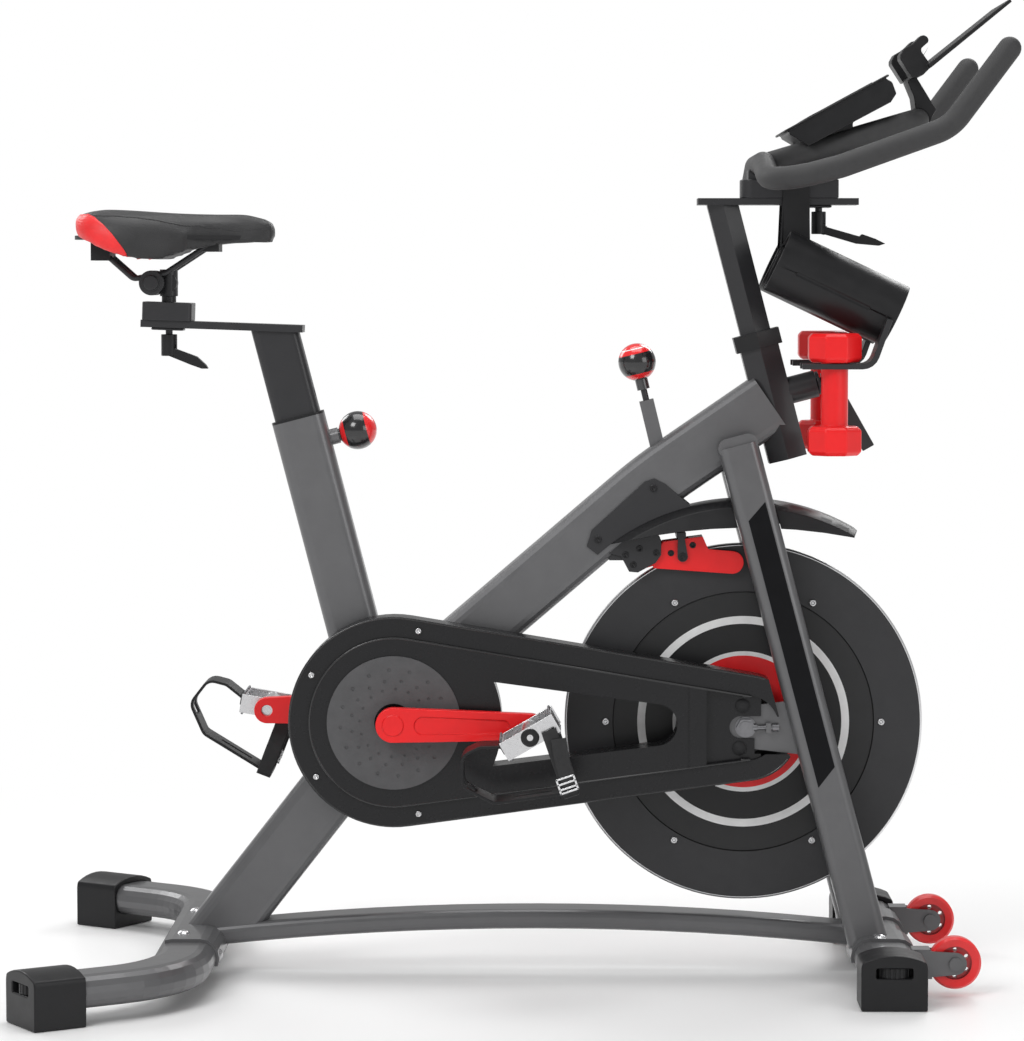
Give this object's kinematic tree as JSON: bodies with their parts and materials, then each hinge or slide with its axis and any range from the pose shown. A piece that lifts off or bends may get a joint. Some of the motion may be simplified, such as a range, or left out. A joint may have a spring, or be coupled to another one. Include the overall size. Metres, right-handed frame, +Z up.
{
  "type": "exercise bike",
  "caption": "Indoor spin bike with a front flywheel, belt guard, adjustable saddle and handlebar posts, toe-caged pedals, bottle cups and hand weights.",
  "frame": {"origin": "on the floor under the middle of the bike", "axes": "+X forward, +Y to the left of the rider, +Z up"},
  "size_m": [1.2033, 0.8076, 1.214],
  "materials": {
    "frame_paint": "satin",
    "dark_paint": "satin",
    "black_plastic": "satin",
    "guard_disc": "satin",
    "belt": "matte",
    "steel": "satin",
    "flywheel": "satin",
    "pulley": "satin",
    "red_paint": "gloss",
    "wheel": "gloss",
    "pedal": "satin",
    "toe_cage": "satin",
    "saddle": "matte",
    "grip": "matte"
  },
  "bodies": {
    "root": {"main_beam": "frame_paint", "seat_tube": "frame_paint", "head_tube": "dark_paint", "fork_leg_right": "frame_paint", "fork_leg_left": "frame_paint", "lower_rail": "frame_paint", "rear_stabiliser": "frame_paint", "front_stabiliser": "frame_paint", "foot_caps": "black_plastic", "frame_bolts": "steel", "wheel_brackets": "frame_paint", "spindle_bearings": "steel", "guard_outer": "black_plastic", "guard_inner": "black_plastic", "guard_disc": "guard_disc", "drive_belt": "belt", "flywheel_axle": "steel", "fender": "black_plastic", "fender_bracket": "dark_paint", "post_bushes": "black_plastic"},
    "flywheel": {"flywheel": "flywheel", "flywheel_pulley": "flywheel"},
    "crank": {"crank_spindle": "steel", "drive_pulley": "pulley", "crank_right": "red_paint", "crank_left": "red_paint", "pedal_spindles": "steel"},
    "pedal_right": {"pedal_right": "pedal", "toe_cage_right": "toe_cage"},
    "pedal_left": {"pedal_left": "pedal", "toe_cage_left": "toe_cage"},
    "seat_post": {"seat_post": "dark_paint"},
    "seat_slider": {"seat_slider": "dark_paint", "seat_clamp": "dark_paint"},
    "saddle": {"rail_clamp": "dark_paint", "saddle_rails": "dark_paint", "saddle_base": "black_plastic", "saddle_pad": "saddle"},
    "seat_lever": {"seat_lever": "black_plastic"},
    "seat_knob": {"seat_knob": "black_plastic"},
    "bar_post": {"bar_post": "dark_paint"},
    "bar_head": {"bar_slider": "dark_paint", "handlebar": "grip", "console": "black_plastic", "tablet_holder": "black_plastic", "bottle_holder": "black_plastic", "weight_forks": "black_plastic"},
    "bar_lever": {"bar_lever": "black_plastic"},
    "height_lever": {"height_lever": "dark_paint"},
    "dumbbell_right": {"dumbbell_right": "red_paint"},
    "dumbbell_left": {"dumbbell_left": "red_paint"},
    "magnet_arm": {"magnet_arm": "red_paint"},
    "brake_rod": {"brake_rod": "dark_paint"},
    "resistance_knob": {"resistance_knob": "black_plastic"},
    "wheel_right": {"wheel_right": "wheel"},
    "wheel_left": {"wheel_left": "wheel"},
    "leveller_rear_right": {"leveller_rear_right": "black_plastic"},
    "leveller_rear_left": {"leveller_rear_left": "black_plastic"},
    "leveller_front_right": {"leveller_front_right": "black_plastic"},
    "leveller_front_left": {"leveller_front_left": "black_plastic"}
  },
  "joints": [
    {"name": "flywheel_spin", "type": "hinge", "parent": "root", "child": "flywheel", "pos_m": [0.281, 0, 0.318], "axis": [0, 1, 0], "continuous": true},
    {"name": "crank_spin", "type": "hinge", "parent": "root", "child": "crank", "pos_m": [-0.1553, 0, 0.3245], "axis": [0, 1, 0], "continuous": true},
    {"name": "pedal_right_spin", "type": "hinge", "parent": "crank", "child": "pedal_right", "pos_m": [0.0142, -0.17, 0.3225], "axis": [0, 1, 0], "continuous": true},
    {"name": "pedal_left_spin", "type": "hinge", "parent": "crank", "child": "pedal_left", "pos_m": [-0.3248, 0.16, 0.3205], "axis": [0, 1, 0], "continuous": true},
    {"name": "seat_height", "type": "slide", "parent": "root", "child": "seat_post", "axis": [-0.2521, 0, 0.9677], "range_m": [-0.085, 0.115]},
    {"name": "seat_fore_aft", "type": "slide", "parent": "seat_post", "child": "seat_slider", "axis": [0.9994, 0, -0.0349], "range_m": [-0.02, 0.055]},
    {"name": "saddle_tilt", "type": "hinge", "parent": "seat_slider", "child": "saddle", "pos_m": [-0.4581, 0, 0.8682], "axis": [0, 1, 0], "range_deg": [-8, 8]},
    {"name": "seat_lever_turn", "type": "hinge", "parent": "seat_slider", "child": "seat_lever", "pos_m": [-0.439, 0, 0.79], "axis": [0, 0, 1], "range_deg": [-120, 120]},
    {"name": "seat_knob_pull", "type": "slide", "parent": "root", "child": "seat_knob", "axis": [0.9677, 0, 0.2521], "range_m": [0, 0.012], "stiffness_N_per_m": 400, "springref_m": -0.01},
    {"name": "bar_height", "type": "slide", "parent": "root", "child": "bar_post", "axis": [-0.2521, 0, 0.9677], "range_m": [-0.055, 0.05]},
    {"name": "bar_fore_aft", "type": "slide", "parent": "bar_post", "child": "bar_head", "axis": [1, 0, 0], "range_m": [-0.05, 0.025]},
    {"name": "bar_lever_turn", "type": "hinge", "parent": "bar_head", "child": "bar_lever", "pos_m": [0.373, 0, 0.94], "axis": [0, 0, 1], "range_deg": [-60, 60]},
    {"name": "height_lever_turn", "type": "hinge", "parent": "root", "child": "height_lever", "pos_m": [0.3148, 0, 0.728], "axis": [0.9677, 0, 0.2521], "range_deg": [-30, 30]},
    {"name": "dumbbell_right_lift_out", "type": "slide", "parent": "bar_head", "child": "dumbbell_right", "axis": [-1, 0, 0], "range_m": [0, 0.058]},
    {"name": "dumbbell_left_lift_out", "type": "slide", "parent": "bar_head", "child": "dumbbell_left", "axis": [-1, 0, 0], "range_m": [0, 0.058]},
    {"name": "brake_push", "type": "slide", "parent": "root", "child": "brake_rod", "axis": [0.2363, 0, -0.9717], "range_m": [0, 0.006], "stiffness_N_per_m": 2500, "springref_m": -0.006},
    {"name": "magnet_swing", "type": "hinge", "parent": "root", "child": "magnet_arm", "pos_m": [0.1426, 0, 0.5169], "axis": [0, 1, 0], "range_deg": [0, 6]},
    {"name": "resistance_turn", "type": "hinge", "parent": "brake_rod", "child": "resistance_knob", "pos_m": [0.1469, 0, 0.7693], "axis": [-0.2363, 0, 0.9717], "range_deg": [0, 1080]},
    {"name": "wheel_right_spin", "type": "hinge", "parent": "root", "child": "wheel_right", "pos_m": [0.5326, -0.157, 0.0405], "axis": [0, 1, 0], "continuous": true},
    {"name": "wheel_left_spin", "type": "hinge", "parent": "root", "child": "wheel_left", "pos_m": [0.5326, 0.157, 0.0405], "axis": [0, 1, 0], "continuous": true},
    {"name": "leveller_rear_right_turn", "type": "hinge", "parent": "root", "child": "leveller_rear_right", "pos_m": [-0.5605, -0.3569, 0.03], "axis": [0, 0, 1], "range_deg": [0, 1080]},
    {"name": "leveller_rear_left_turn", "type": "hinge", "parent": "root", "child": "leveller_rear_left", "pos_m": [-0.5605, 0.3569, 0.03], "axis": [0, 0, 1], "range_deg": [0, 1080]},
    {"name": "leveller_front_right_turn", "type": "hinge", "parent": "root", "child": "leveller_front_right", "pos_m": [0.45, -0.2405, 0.03], "axis": [0, 0, 1], "range_deg": [0, 1080]},
    {"name": "leveller_front_left_turn", "type": "hinge", "parent": "root", "child": "leveller_front_left", "pos_m": [0.45, 0.2405, 0.03], "axis": [0, 0, 1], "range_deg": [0, 1080]}
  ],
  "couplings": [
    {"joint": "crank_spin", "follows": "flywheel_spin", "ratio": 0.34},
    {"joint": "magnet_swing", "follows": "brake_push", "rad_per_m": 16.1}
  ]
}
